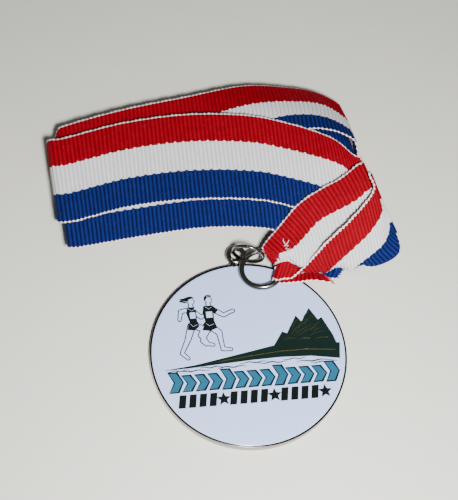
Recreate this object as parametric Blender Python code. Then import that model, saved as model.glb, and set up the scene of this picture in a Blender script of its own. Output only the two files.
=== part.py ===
"""Sports finisher medal: enamelled disc, jump ring, ribbon ring and a folded striped neck ribbon.

Units are metres, +Z is up.  The medal lies on its back with the lug toward +Y.
The ribbon is one strip laid up as a flat doubled coil of eight passes.
"""
import math

import bmesh
import bpy
from mathutils import Vector

MM = 0.001

# medal
DISC_RADIUS = 25.4 * MM
DISC_THICKNESS = 2.5 * MM
FIELD_RADIUS = 24.5 * MM
FIELD_FLOOR = 1.1 * MM
ENAMEL_RADIUS = 24.2 * MM
ENAMEL_BOTTOM = 1.4 * MM
ENAMEL_TOP = 1.9 * MM
ART_BOTTOM = 2.2 * MM
ART_TOP = 2.5 * MM
EDGE_ROUND = 0.25 * MM

# lug
LUG_Y = 28.3 * MM
LUG_Z = 2.0 * MM
LUG_MAJOR = 2.05 * MM
LUG_TUBE = 0.75 * MM

# rings
JUMP_CENTER = Vector((2.9, 27.2, 4.5)) * MM
JUMP_RADIUS = 4.0 * MM
JUMP_WIRE = 0.45 * MM
JUMP_HEADING = math.radians(-19.4)
RING_CENTER = Vector((5.9, 22.5, 4.65)) * MM
RING_RADIUS = 5.25 * MM
RING_WIRE = 0.75 * MM
RING_SLOPE = 0.105

# ribbon
RIBBON_THICKNESS = 0.45 * MM
WRAP_INNER = 1.3
WRAP_OUTER = 2.05
SUBDIVISIONS = 3


def clear_scene():
    for item in list(bpy.data.objects):
        bpy.data.objects.remove(item, do_unlink=True)


def collection(name):
    group = bpy.data.collections.new(name)
    bpy.context.scene.collection.children.link(group)
    return group


clear_scene()
PARTS = collection("sports_finisher_medal")
CUTTERS = collection("cutters")


def material(name, color, metallic, roughness):
    mat = bpy.data.materials.new(name)
    mat.use_nodes = True
    shader = mat.node_tree.nodes["Principled BSDF"]
    shader.inputs["Base Color"].default_value = (*color, 1.0)
    shader.inputs["Metallic"].default_value = metallic
    shader.inputs["Roughness"].default_value = roughness
    return mat


NICKEL = material("nickel_plate", (0.42, 0.42, 0.43), 1.0, 0.15)
DARK_NICKEL = material("dark_nickel_wire", (0.12, 0.12, 0.13), 1.0, 0.12)
WHITE_ENAMEL = material("white_enamel", (0.75, 0.78, 0.82), 0.0, 0.12)
BLACK_ENAMEL = material("black_enamel", (0.02, 0.02, 0.025), 0.0, 0.15)
TEAL_ENAMEL = material("teal_enamel", (0.05, 0.35, 0.42), 0.0, 0.15)
RIBBON_CLOTH = material("striped_ribbon", (0.45, 0.25, 0.35), 0.0, 0.6)
THREAD = material("white_thread", (0.8, 0.8, 0.78), 0.0, 0.8)


def add_object(name, mesh, mat, group=PARTS):
    item = bpy.data.objects.new(name, mesh)
    if mat is not None:
        mesh.materials.append(mat)
    group.objects.link(item)
    if group is CUTTERS:
        item.hide_render = True
        item.display_type = "WIRE"
    return item


def outward(mesh):
    bm = bmesh.new()
    bm.from_mesh(mesh)
    bmesh.ops.remove_doubles(bm, verts=bm.verts, dist=1e-7)
    bmesh.ops.recalc_face_normals(bm, faces=bm.faces)
    bm.to_mesh(mesh)
    bm.free()


def smooth(item, angle=math.radians(35)):
    item.data.shade_smooth()
    item.data.set_sharp_from_angle(angle=angle)


def combine(item, tool, operation):
    mod = item.modifiers.new("combine", "BOOLEAN")
    mod.operation = operation
    mod.solver = "EXACT"
    mod.object = tool
    shaped = bpy.context.evaluated_depsgraph_get()
    result = bpy.data.meshes.new_from_object(item.evaluated_get(shaped))
    item.modifiers.clear()
    item.data = result


def lathe(name, profile, mat, group=PARTS, steps=128):
    """Turn a (radius, height) outline, starting and ending on the axis, about +Z."""
    bm = bmesh.new()
    rings = []
    for step in range(steps):
        angle = 2 * math.pi * step / steps
        ring = []
        for radius, height in profile:
            point = (radius * math.cos(angle), radius * math.sin(angle), height)
            ring.append(bm.verts.new(point))
        rings.append(ring)
    for step in range(steps):
        here = rings[step]
        after = rings[(step + 1) % steps]
        for row in range(len(profile) - 1):
            bm.faces.new((here[row], after[row], after[row + 1], here[row + 1]))
    mesh = bpy.data.meshes.new(name)
    bmesh.ops.remove_doubles(bm, verts=bm.verts, dist=1e-7)
    bmesh.ops.dissolve_degenerate(bm, edges=bm.edges, dist=1e-7)
    bm.to_mesh(mesh)
    bm.free()
    outward(mesh)
    return add_object(name, mesh, mat, group)


def torus(name, center, across, upright, radius, wire, mat, group=PARTS, around=64, sides=16):
    """Closed round-wire ring whose circle lies along two unit vectors."""
    normal = across.cross(upright).normalized()
    bm = bmesh.new()
    rows = []
    for step in range(around):
        angle = 2 * math.pi * step / around
        out = across * math.cos(angle) + upright * math.sin(angle)
        row = []
        for side in range(sides):
            turn = 2 * math.pi * side / sides
            offset = out * (radius + wire * math.cos(turn)) + normal * (wire * math.sin(turn))
            row.append(bm.verts.new(center + offset))
        rows.append(row)
    for step in range(around):
        here = rows[step]
        after = rows[(step + 1) % around]
        for side in range(sides):
            other = (side + 1) % sides
            bm.faces.new((here[side], after[side], after[other], here[other]))
    mesh = bpy.data.meshes.new(name)
    bm.to_mesh(mesh)
    bm.free()
    outward(mesh)
    return add_object(name, mesh, mat, group)


def plate(name, outline, bottom, top, mat, group=PARTS):
    """Flat plate from an outline given in millimetres."""
    bm = bmesh.new()
    lower = [bm.verts.new((x * MM, y * MM, bottom)) for x, y in outline]
    upper = [bm.verts.new((x * MM, y * MM, top)) for x, y in outline]
    bm.faces.new(lower)
    bm.faces.new(upper)
    count = len(outline)
    for index in range(count):
        other = (index + 1) % count
        bm.faces.new((lower[index], lower[other], upper[other], upper[index]))
    mesh = bpy.data.meshes.new(name)
    bmesh.ops.triangulate(bm, faces=[f for f in bm.faces if len(f.verts) > 4])
    bm.to_mesh(mesh)
    bm.free()
    outward(mesh)
    return add_object(name, mesh, mat, group)


def limb(start, end, start_radius, end_radius, sides=10):
    """Outline of a rounded, tapered limb between two points."""
    heading = math.atan2(end[1] - start[1], end[0] - start[0])
    outline = []
    for step in range(sides + 1):
        angle = heading + math.pi / 2 + math.pi * step / sides
        x = start[0] + start_radius * math.cos(angle)
        y = start[1] + start_radius * math.sin(angle)
        outline.append((x, y))
    for step in range(sides + 1):
        angle = heading - math.pi / 2 + math.pi * step / sides
        x = end[0] + end_radius * math.cos(angle)
        y = end[1] + end_radius * math.sin(angle)
        outline.append((x, y))
    return outline


# ---------------------------------------------------------------- medal casting
casting = lathe("medal_casting", [
    (0.0, 0.0),
    (DISC_RADIUS - EDGE_ROUND, 0.0),
    (DISC_RADIUS, EDGE_ROUND),
    (DISC_RADIUS, DISC_THICKNESS - EDGE_ROUND),
    (DISC_RADIUS - EDGE_ROUND, DISC_THICKNESS),
    (FIELD_RADIUS, DISC_THICKNESS),
    (FIELD_RADIUS, FIELD_FLOOR),
    (0.0, FIELD_FLOOR),
], NICKEL)
eye = torus("lug_eye", Vector((0, LUG_Y, LUG_Z)), Vector((1, 0, 0)), Vector((0, 1, 0)),
            LUG_MAJOR, LUG_TUBE, None, CUTTERS, around=48, sides=16)
foot = plate("lug_foot", [(-2.3, 24.85), (2.3, 24.85), (1.25, 26.6), (-1.25, 26.6)],
             1.35 * MM, 2.3 * MM, None, CUTTERS)
combine(casting, foot, "UNION")
combine(casting, eye, "UNION")
casting.data.materials.clear()
casting.data.materials.append(NICKEL)
smooth(casting)

enamel = lathe("enamel_field", [
    (0.0, ENAMEL_BOTTOM),
    (ENAMEL_RADIUS, ENAMEL_BOTTOM),
    (ENAMEL_RADIUS, ENAMEL_TOP),
    (0.0, ENAMEL_TOP),
], WHITE_ENAMEL)
smooth(enamel)

# ---------------------------------------------------------------- enamel art
runner = plate("runner_figure", limb((-8.7, 12.7), (-10.8, 6.4), 1.9, 1.5),
               ART_BOTTOM, ART_TOP, BLACK_ENAMEL)
for start, end, start_radius, end_radius in [
    ((-8.1, 15.6), (-8.0, 15.7), 2.0, 2.0),
    ((-8.3, 12.9), (-4.8, 9.6), 1.0, 0.75),
    ((-4.8, 9.6), (-2.6, 12.2), 0.75, 0.6),
    ((-9.3, 12.9), (-13.6, 11.3), 1.0, 0.75),
    ((-13.6, 11.3), (-14.8, 7.9), 0.75, 0.6),
    ((-10.5, 6.2), (-5.8, 4.4), 1.45, 1.05),
    ((-5.8, 4.4), (-7.1, 0.5), 1.05, 0.7),
    ((-7.1, 0.5), (-5.0, 0.2), 0.7, 0.6),
    ((-11.0, 6.2), (-12.8, 1.9), 1.45, 1.05),
    ((-12.8, 1.9), (-17.2, 1.6), 1.05, 0.7),
    ((-17.2, 1.6), (-17.9, 3.4), 0.7, 0.6),
]:
    part = plate("runner_limb", limb(start, end, start_radius, end_radius),
                 ART_BOTTOM, ART_TOP, None, CUTTERS)
    combine(runner, part, "UNION")
runner.data.materials.clear()
runner.data.materials.append(BLACK_ENAMEL)

plate("mountain_peaks", [
    (7.2, 1.8), (22.4, 1.7), (20.2, 7.4), (18.6, 5.6), (16.6, 11.3), (13.4, 5.6), (11.6, 7.6),
], ART_BOTTOM, ART_TOP, BLACK_ENAMEL)
plate("running_track", [
    (-22.0, -3.3), (-8.0, -2.8), (4.0, -2.1), (12.0, -2.1), (23.2, -3.2),
    (23.5, 1.1), (14.0, 1.2), (6.4, 1.0), (0.0, 0.0), (-6.0, -1.0), (-14.0, -2.3),
], ART_BOTTOM, ART_TOP, BLACK_ENAMEL)

chevrons = []
for index in range(17):
    chevrons.append((-21.2 + 2.65 * index, -3.8 if index % 2 else -7.2))
for index in reversed(range(17)):
    chevrons.append((-21.2 + 2.65 * index, -6.1 if index % 2 else -9.5))
plate("chevron_row", chevrons, ART_BOTTOM, ART_TOP, TEAL_ENAMEL)

diamonds = []
for index in range(7):
    middle = -17.4 + 5.8 * index
    diamonds += [(middle - 1.9, -11.7), (middle, -10.0), (middle + 1.9, -11.7)]
for index in reversed(range(7)):
    middle = -17.4 + 5.8 * index
    diamonds += [(middle + 1.9, -12.3), (middle, -14.0), (middle - 1.9, -12.3)]
plate("diamond_row", diamonds, ART_BOTTOM, ART_TOP, BLACK_ENAMEL)

# ---------------------------------------------------------------- rings
jump_across = Vector((math.cos(JUMP_HEADING), math.sin(JUMP_HEADING), 0))
jump_ring = torus("jump_ring", JUMP_CENTER, jump_across, Vector((0, 0, 1)),
                  JUMP_RADIUS, JUMP_WIRE, DARK_NICKEL, around=64, sides=16)
smooth(jump_ring)
ring_across = Vector((1, 0, RING_SLOPE)).normalized()
ribbon_ring = torus("ribbon_ring", RING_CENTER, ring_across, Vector((0, 1, 0)),
                    RING_RADIUS, RING_WIRE, DARK_NICKEL, around=72, sides=16)
smooth(ribbon_ring)


# ---------------------------------------------------------------- neck ribbon
# A station is four points across the ribbon, in millimetres: red selvage,
# red/white line, white/blue line, blue selvage.
def section(red_x, blue_x, red_y, blue_y, red_z, blue_z, sag=0.0):
    """Straight station from the red selvage to the blue one, lifted by sag in between."""
    station = []
    for part in (0.0, 1 / 3, 2 / 3, 1.0):
        x = red_x + (blue_x - red_x) * part
        y = red_y + (blue_y - red_y) * part
        z = red_z + (blue_z - red_z) * part + sag * 4 * part * (1 - part)
        station.append((x, y, z))
    return station


def turn(first, last, depth):
    """Half-turn stations bulging by depth along X between two stations."""
    stations = []
    for degrees in (30, 60, 90, 120, 150):
        angle = math.radians(degrees)
        station = []
        for a, b in zip(first, last):
            blend = (1 - math.cos(angle)) / 2
            x = a[0] + (b[0] - a[0]) * blend + depth * math.sin(angle)
            y = a[1] + (b[1] - a[1]) * blend
            z = a[2] + (b[2] - a[2]) * blend
            station.append((x, y, z))
        stations.append(station)
    return stations


def wrap(radius, degrees, reach):
    """Station gathered round the wire of the ribbon ring at an angle about the wire."""
    station = []
    for spot in reach:
        out = Vector((math.cos(math.radians(spot)), math.sin(math.radians(spot)), 0))
        wire = Vector((5.9, 22.5, 4.65)) + out * 5.25
        wire.z += RING_SLOPE * 5.25 * out.x
        angle = math.radians(degrees)
        point = wire + out * (radius * math.cos(angle))
        point.z += radius * math.sin(angle)
        station.append(tuple(point))
    return station


REACH_A = (42, 11, -20, -52)
REACH_B = (-52, -20, 11, 42)

tab_a = [
    [(21.6, 30.2, 0.8), (23.4, 27.2, 0.8), (25.0, 24.4, 0.8), (26.2, 21.7, 0.8)],
    [(18.6, 29.2, 1.3), (19.9, 26.3, 1.3), (21.2, 23.1, 1.4), (22.0, 20.2, 1.5)],
    [(15.0, 27.6, 2.2), (15.9, 24.6, 2.4), (16.6, 21.4, 2.7), (16.4, 18.3, 3.1)],
]
arm_a = [
    [(10.8, 29.6, 7.8), (13.4, 26.4, 7.7), (14.8, 23.4, 6.7), (14.6, 20.9, 5.6)],
    [(13.8, 35.1, 9.3), (17.6, 29.6, 9.0), (20.4, 25.4, 7.2), (21.0, 23.0, 4.4)],
    [(16.8, 37.7, 10.7), (21.9, 32.4, 10.3), (25.5, 27.5, 7.6), (27.0, 25.2, 3.6)],
    [(23.4, 41.1, 12.8), (27.5, 34.6, 12.4), (31.0, 29.0, 8.8), (32.5, 26.6, 4.2)],
    [(28.4, 42.9, 14.3), (32.0, 36.4, 13.6), (35.0, 30.4, 9.2), (36.3, 27.6, 4.6)],
    [(33.6, 46.2, 15.4), (35.6, 38.9, 14.4), (37.4, 32.0, 9.4), (38.4, 28.4, 5.0)],
]
pass_a1 = [
    [(33.6, 49.4, 14.2), (35.0, 42.0, 12.9), (36.4, 35.2, 9.2), (37.2, 30.4, 4.8)],
    [(29.0, 55.2, 13.4), (29.6, 47.4, 12.9), (30.2, 39.4, 10.6), (30.8, 31.8, 6.6)],
    section(23.0, 23.0, 59.2, 34.4, 12.6, 9.2, 1.0),
    section(16.0, 16.0, 62.6, 37.4, 11.8, 9.5, 0.3),
    section(8.0, 8.0, 65.6, 39.9, 11.0, 9.8),
    section(-9.0, -9.0, 68.0, 41.6, 9.6, 9.6),
    section(-27.0, -27.0, 66.6, 40.8, 9.3, 9.2),
    section(-44.0, -44.0, 63.2, 38.1, 9.0, 9.0),
]
pass_a2 = [
    section(-44.0, -44.0, 61.4, 37.0, 0.8, 0.8),
    section(-27.0, -27.0, 63.0, 38.0, 0.8, 0.8),
    section(-9.0, -9.0, 64.5, 39.1, 0.8, 0.8),
    section(8.0, 8.0, 64.8, 39.4, 0.8, 0.8),
    section(19.0, 19.0, 62.5, 37.1, 0.8, 0.8),
    section(27.0, 27.0, 59.5, 34.5, 0.8, 1.0),
    section(31.5, 32.0, 57.5, 32.8, 0.8, 1.2),
]
pass_a3 = [
    section(31.5, 33.0, 71.5, 54.5, 6.2, 12.2),
    section(27.0, 27.0, 75.3, 56.2, 5.6, 12.0),
    section(19.0, 19.0, 77.4, 55.0, 5.6, 10.2),
    section(8.0, 8.0, 78.2, 53.4, 6.0, 8.2),
    section(-9.0, -9.0, 75.4, 50.2, 6.6, 7.2),
    section(-27.0, -27.0, 72.2, 47.0, 6.8, 6.6),
    section(-43.2, -41.6, 68.0, 43.2, 6.8, 6.5),
]
pass_a4 = [
    section(-43.2, -41.6, 62.0, 37.6, 3.2, 3.2),
    section(-27.0, -27.0, 64.0, 38.6, 3.2, 3.3),
    section(-9.0, -9.0, 66.0, 40.6, 3.1, 3.7),
    section(8.0, 8.0, 66.5, 41.1, 3.0, 4.4),
    section(19.0, 19.0, 64.5, 39.1, 2.9, 4.8),
    section(29.0, 29.0, 60.5, 35.6, 2.9, 4.6),
]
pass_b4 = [
    section(29.0, 29.0, 63.4, 38.2, 4.4, 7.0),
    section(19.0, 19.0, 67.5, 42.1, 4.0, 6.4),
    section(8.0, 8.0, 69.5, 44.1, 4.2, 5.8),
    section(-9.0, -9.0, 68.0, 42.6, 4.3, 5.0),
    section(-27.0, -27.0, 65.5, 40.1, 4.4, 4.5),
    section(-42.0, -40.4, 63.0, 38.4, 4.4, 4.4),
]
pass_b3 = [
    section(-42.0, -40.4, 65.2, 40.0, 5.6, 5.4),
    section(-27.0, -27.0, 69.0, 43.6, 5.6, 5.5),
    section(-9.0, -9.0, 72.0, 46.6, 5.4, 6.0),
    section(8.0, 8.0, 74.4, 49.2, 5.0, 7.0),
    section(19.0, 19.0, 73.2, 48.6, 4.7, 8.6),
    section(28.5, 28.5, 69.6, 46.8, 5.2, 10.0),
]
pass_b2 = [
    section(28.5, 28.5, 58.0, 33.4, 1.9, 2.6),
    section(19.0, 19.0, 61.5, 36.1, 1.9, 3.2),
    section(8.0, 8.0, 64.0, 38.6, 1.9, 3.0),
    section(-9.0, -9.0, 64.0, 38.6, 2.0, 2.4),
    section(-27.0, -27.0, 62.0, 36.6, 2.0, 2.1),
    section(-43.6, -42.6, 59.2, 34.4, 2.0, 2.0),
]
pass_b1 = [
    section(-43.6, -42.6, 57.0, 31.6, 7.9, 7.6),
    section(-27.0, -27.0, 58.3, 32.9, 8.0, 7.6),
    section(-9.0, -9.0, 59.2, 33.8, 8.4, 7.9),
    section(5.0, 5.0, 58.6, 33.2, 9.4, 7.5),
    section(12.0, 12.0, 57.0, 32.0, 10.2, 6.9, 0.4),
    section(19.0, 19.0, 54.4, 30.6, 11.0, 6.0, 0.8),
    section(26.0, 26.0, 51.2, 29.4, 11.8, 4.6, 1.4),
    [(33.4, 46.6, 12.6), (34.8, 40.4, 11.2), (36.2, 34.4, 7.6), (37.4, 29.9, 3.0)],
]
panel_b = [
    [(37.4, 40.6, 16.6), (39.4, 34.9, 12.4), (41.9, 31.5, 7.0), (43.5, 29.2, 4.4)],
    [(36.2, 36.8, 16.6), (38.9, 32.6, 12.2), (41.9, 30.0, 6.8), (43.9, 28.0, 4.2)],
    [(29.5, 30.6, 14.8), (35.4, 28.6, 10.6), (40.4, 27.2, 6.2), (43.9, 26.6, 3.4)],
    [(22.6, 25.8, 11.4), (31.0, 25.6, 8.0), (37.8, 25.4, 4.8), (43.4, 25.4, 2.6)],
    [(17.4, 21.8, 8.2), (26.4, 22.8, 5.2), (34.4, 23.6, 3.2), (42.6, 24.6, 2.0)],
    [(14.0, 19.3, 6.0), (23.6, 21.6, 3.2), (32.0, 22.4, 1.9), (41.4, 24.0, 1.4)],
]
arm_b = [
    [(13.3, 18.9, 5.0), (21.6, 21.8, 2.9), (28.6, 23.2, 1.2), (36.5, 26.0, 0.8)],
    [(12.4, 19.0, 5.0), (17.8, 22.4, 3.7), (22.6, 25.3, 2.7), (27.2, 29.0, 2.0)],
    [(11.6, 18.9, 5.6), (14.2, 21.6, 5.0), (16.0, 24.4, 4.6), (16.8, 28.0, 4.4)],
]
tab_b = [
    [(14.6, 17.6, 3.9), (15.2, 20.8, 3.6), (15.2, 24.2, 3.2), (14.4, 27.2, 3.2)],
    [(18.6, 18.6, 2.9), (18.8, 21.8, 2.5), (18.6, 25.0, 2.2), (18.0, 28.4, 2.2)],
    [(22.0, 19.4, 2.0), (21.8, 22.6, 1.8), (21.4, 25.8, 1.8), (20.8, 29.2, 1.8)],
]

stations = list(tab_a)
stations += [wrap(WRAP_OUTER, degrees, REACH_A) for degrees in (262, 232, 202, 172, 142, 112, 84)]
stations += arm_a
stations += turn(arm_a[-1], pass_a1[0], 1.4)
stations += pass_a1
stations += turn(pass_a1[-1], pass_a2[0], -3.2)
stations += pass_a2
stations += turn(pass_a2[-1], pass_a3[0], 4.4)
stations += pass_a3
stations += turn(pass_a3[-1], pass_a4[0], -1.8)
stations += pass_a4
stations += turn(pass_a4[-1], pass_b4[0], 1.5)
stations += pass_b4
stations += turn(pass_b4[-1], pass_b3[0], -0.8)
stations += pass_b3
stations += turn(pass_b3[-1], pass_b2[0], 3.6)
stations += pass_b2
stations += turn(pass_b2[-1], pass_b1[0], -2.4)
stations += pass_b1
stations += turn(pass_b1[-1], panel_b[0], 3.4)
stations += panel_b
stations += arm_b
stations += [wrap(WRAP_INNER, degrees, REACH_B) for degrees in (84, 112, 142, 172, 202, 232, 262)]
stations += tab_b


def rounded(line):
    """Catmull-Rom points through one lane of stations."""
    points = [Vector(point) for point in line]
    ends = [points[0] * 2 - points[1]] + points + [points[-1] * 2 - points[-2]]
    result = []
    for index in range(1, len(ends) - 2):
        p0, p1, p2, p3 = ends[index - 1:index + 3]
        t1 = max((p1 - p0).length, 1e-4) ** 0.5
        t2 = t1 + max((p2 - p1).length, 1e-4) ** 0.5
        t3 = t2 + max((p3 - p2).length, 1e-4) ** 0.5
        for step in range(SUBDIVISIONS):
            t = t1 + (t2 - t1) * step / SUBDIVISIONS
            a1 = p0 * ((t1 - t) / t1) + p1 * (t / t1)
            a2 = p1 * ((t2 - t) / (t2 - t1)) + p2 * ((t - t1) / (t2 - t1))
            a3 = p2 * ((t3 - t) / (t3 - t2)) + p3 * ((t - t2) / (t3 - t2))
            b1 = a1 * ((t2 - t) / t2) + a2 * (t / t2)
            b2 = a2 * ((t3 - t) / (t3 - t1)) + a3 * ((t - t1) / (t3 - t1))
            result.append(b1 * ((t2 - t) / (t2 - t1)) + b2 * ((t - t1) / (t2 - t1)))
    result.append(points[-1])
    return result


def strip(name, lanes, thickness, mat):
    """Closed solid strip lofted along lanes of points, thickened both ways."""
    rows = len(lanes[0])
    count = len(lanes)
    bm = bmesh.new()
    front = []
    back = []
    for row in range(rows):
        before = max(row - 1, 0)
        after = min(row + 1, rows - 1)
        front_row = []
        back_row = []
        for lane in range(count):
            left = max(lane - 1, 0)
            right = min(lane + 1, count - 1)
            along = lanes[lane][after] - lanes[lane][before]
            across = lanes[right][row] - lanes[left][row]
            normal = along.cross(across).normalized() * (thickness / 2)
            middle = lanes[lane][row]
            front_row.append(bm.verts.new(middle + normal))
            back_row.append(bm.verts.new(middle - normal))
        front.append(front_row)
        back.append(back_row)
    for row in range(rows - 1):
        for lane in range(count - 1):
            bm.faces.new((front[row][lane], front[row + 1][lane],
                          front[row + 1][lane + 1], front[row][lane + 1]))
            bm.faces.new((back[row][lane], back[row][lane + 1],
                          back[row + 1][lane + 1], back[row + 1][lane]))
        for lane in (0, count - 1):
            bm.faces.new((front[row][lane], front[row + 1][lane],
                          back[row + 1][lane], back[row][lane]))
    for row in (0, rows - 1):
        for lane in range(count - 1):
            bm.faces.new((front[row][lane], front[row][lane + 1],
                          back[row][lane + 1], back[row][lane]))
    bmesh.ops.recalc_face_normals(bm, faces=bm.faces)
    mesh = bpy.data.meshes.new(name)
    bm.to_mesh(mesh)
    bm.free()
    return add_object(name, mesh, mat)


ribbon_lanes = []
for lane in range(4):
    smooth_lane = rounded([station[lane] for station in stations])
    ribbon_lanes.append([point * MM for point in smooth_lane])
ribbon = strip("neck_ribbon", ribbon_lanes, RIBBON_THICKNESS, RIBBON_CLOTH)
smooth(ribbon, math.radians(50))

# ---------------------------------------------------------------- stitching
tack_lane = [(12.6, 27.4, 8.75), (13.6, 26.2, 8.65), (14.4, 24.9, 8.2)]
tack_line = [Vector(point) * MM for point in tack_lane]
tack_side = [point + Vector((0.55, 0.4, 0)) * MM for point in tack_line]
tack = strip("bar_tack_stitching", [tack_line, tack_side], 0.3 * MM, THREAD)
smooth(tack)
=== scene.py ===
"""Sports finisher medal lying on a pale table with its striped neck ribbon folded beside it.

Shapes are worked out in millimetres. Meshes, the camera and the lights are in metres.
"""
import math

import bmesh
import bpy
import numpy as np
from mathutils import Matrix, Vector


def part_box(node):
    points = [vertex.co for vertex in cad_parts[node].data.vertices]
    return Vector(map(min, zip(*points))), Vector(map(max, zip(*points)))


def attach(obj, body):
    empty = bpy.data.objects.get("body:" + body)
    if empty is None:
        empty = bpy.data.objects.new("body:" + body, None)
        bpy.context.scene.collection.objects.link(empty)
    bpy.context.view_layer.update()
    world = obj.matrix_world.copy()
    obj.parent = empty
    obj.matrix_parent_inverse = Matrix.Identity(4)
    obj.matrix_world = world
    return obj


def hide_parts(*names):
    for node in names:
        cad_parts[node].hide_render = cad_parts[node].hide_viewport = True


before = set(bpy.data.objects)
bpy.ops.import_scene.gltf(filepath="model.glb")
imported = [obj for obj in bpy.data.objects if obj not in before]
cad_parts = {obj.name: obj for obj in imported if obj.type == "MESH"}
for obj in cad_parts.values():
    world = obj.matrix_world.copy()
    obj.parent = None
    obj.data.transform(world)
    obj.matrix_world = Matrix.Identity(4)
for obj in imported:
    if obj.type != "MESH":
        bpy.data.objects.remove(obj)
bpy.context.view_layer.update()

MM = 0.001


def cad_size(node):
    """Middle and half size of a CAD node at rest, in millimetres."""
    low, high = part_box(node)
    return (low + high) / 2 / MM, (high - low) / 2 / MM


# Sizes in millimetres. The frame gives the places; the ring wires are a touch fuller
# than the CAD's.
casting_middle, casting_half = cad_size("medal_casting")
art_middle, art_half = cad_size("chevron_row")
DISC_RADIUS = casting_half.x
DISC_TOP = art_middle.z + art_half.z
LUG_RADIUS = 2.05
LUG_WIRE = 0.75
LUG_Y = casting_middle.y + casting_half.y - LUG_WIRE - LUG_RADIUS
LUG_Z = casting_middle.z + casting_half.z - LUG_WIRE
JUMP_CENTER, jump_half = cad_size("jump_ring")
JUMP_CAD_WIRE = 0.45
JUMP_RADIUS = jump_half.z - JUMP_CAD_WIRE
JUMP_WIRE = 0.48
JUMP_HEADING = math.radians(-19.4)
RING_CENTER, ring_half = cad_size("ribbon_ring")
RING_CAD_WIRE = 0.75
RING_RADIUS = ring_half.y - RING_CAD_WIRE
RING_WIRE = 0.76
RING_SLOPE = 0.105

# The ribbon is a standard 1 by 32 inch strip: its thickness and weave in millimetres.
THICKNESS = 0.42
RIB_PITCH = 1.1
RIB_HEIGHT = 0.13


# ---------------------------------------------------------------- materials
def linear(color):
    """Scene-linear colour from a six-digit hex value."""
    values = []
    for start in (0, 2, 4):
        level = int(color[start:start + 2], 16) / 255
        values.append(level / 12.92 if level < 0.04045 else ((level + 0.055) / 1.055) ** 2.4)
    return (*values, 1.0)


class Nodes:
    """Small helper that wires shader nodes together."""

    def __init__(self, name):
        self.mat = bpy.data.materials.new(name)
        self.mat.use_nodes = True
        self.tree = self.mat.node_tree
        self.shader = self.tree.nodes["Principled BSDF"]

    def add(self, kind, **settings):
        node = self.tree.nodes.new(kind)
        for key, value in settings.items():
            setattr(node, key, value)
        return node

    def link(self, source, target):
        self.tree.links.new(source, target)

    def value(self, operation, first, second=0.0, third=0.0):
        node = self.add("ShaderNodeMath", operation=operation)
        for socket, item in zip(node.inputs, (first, second, third)):
            if isinstance(item, (int, float)):
                socket.default_value = item
            else:
                self.link(item, socket)
        return node.outputs[0]

    def mix(self, factor, first, second):
        node = self.add("ShaderNodeMix", data_type="RGBA")
        for socket, item in zip((node.inputs[0], node.inputs[6], node.inputs[7]),
                                (factor, first, second)):
            if isinstance(item, (int, float, tuple)):
                socket.default_value = item
            else:
                self.link(item, socket)
        return node.outputs[2]

    def noise(self, scale, detail=2.0):
        place = self.add("ShaderNodeTexCoord")
        node = self.add("ShaderNodeTexNoise")
        node.inputs["Scale"].default_value = scale
        node.inputs["Detail"].default_value = detail
        self.link(place.outputs["Object"], node.inputs["Vector"])
        return node.outputs["Fac"]

    def spread(self, factor, low, high):
        node = self.add("ShaderNodeMapRange")
        self.link(factor, node.inputs["Value"])
        node.inputs["To Min"].default_value = low
        node.inputs["To Max"].default_value = high
        return node.outputs["Result"]

    def bump(self, height, strength, distance):
        node = self.add("ShaderNodeBump")
        node.inputs["Strength"].default_value = strength
        node.inputs["Distance"].default_value = distance
        self.link(height, node.inputs["Height"])
        self.link(node.outputs["Normal"], self.shader.inputs["Normal"])


def plated(name, color, roughness, spread):
    """Polished plating with a faint cloudiness."""
    nodes = Nodes(name)
    nodes.shader.inputs["Metallic"].default_value = 1.0
    tone = nodes.noise(900.0, 3.0)
    nodes.link(nodes.mix(nodes.spread(tone, 0.0, 0.35), linear(color), linear("303030")),
               nodes.shader.inputs["Base Color"])
    nodes.link(nodes.spread(nodes.noise(2500.0), roughness, roughness + spread),
               nodes.shader.inputs["Roughness"])
    nodes.bump(nodes.noise(1400.0, 3.0), 0.12, 0.00003)
    return nodes.mat


def enamel(name, color, deeper):
    """Glossy enamel whose colour drifts a little towards a deeper one."""
    nodes = Nodes(name)
    tone = nodes.noise(180.0, 3.0)
    nodes.link(nodes.mix(nodes.spread(tone, 0.0, 0.6), linear(color), linear(deeper)),
               nodes.shader.inputs["Base Color"])
    nodes.link(nodes.spread(nodes.noise(700.0), 0.12, 0.18), nodes.shader.inputs["Roughness"])
    nodes.shader.inputs["Coat Weight"].default_value = 0.3
    nodes.shader.inputs["Coat Roughness"].default_value = 0.06
    nodes.bump(nodes.noise(450.0, 2.0), 0.05, 0.00004)
    return nodes.mat


def thread(name, color, deeper):
    """Matt sewing thread."""
    nodes = Nodes(name)
    tone = nodes.noise(3000.0, 2.0)
    nodes.link(nodes.mix(tone, linear(color), linear(deeper)), nodes.shader.inputs["Base Color"])
    nodes.shader.inputs["Roughness"].default_value = 0.75
    nodes.shader.inputs["Sheen Weight"].default_value = 0.3
    return nodes.mat


# How far the stripes' edges wander, as shares of the ribbon's width.
RIB_SCALLOP = 0.002
PAIR_SCALLOP = 0.006
RAGGED = 0.012
PICOT_LOOP = 0.005


def stripe(nodes, color, deeper, crest, depth, shade):
    """One stripe's colour, with painted shade: the grooves between ribs are darkened towards the
    shade colour, by depth at the deepest.
    """
    cloth = nodes.mix(nodes.noise(500.0, 3.0), linear(color), linear(deeper))
    return nodes.mix(nodes.spread(crest, depth, 0.0), cloth, linear(shade))


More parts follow.
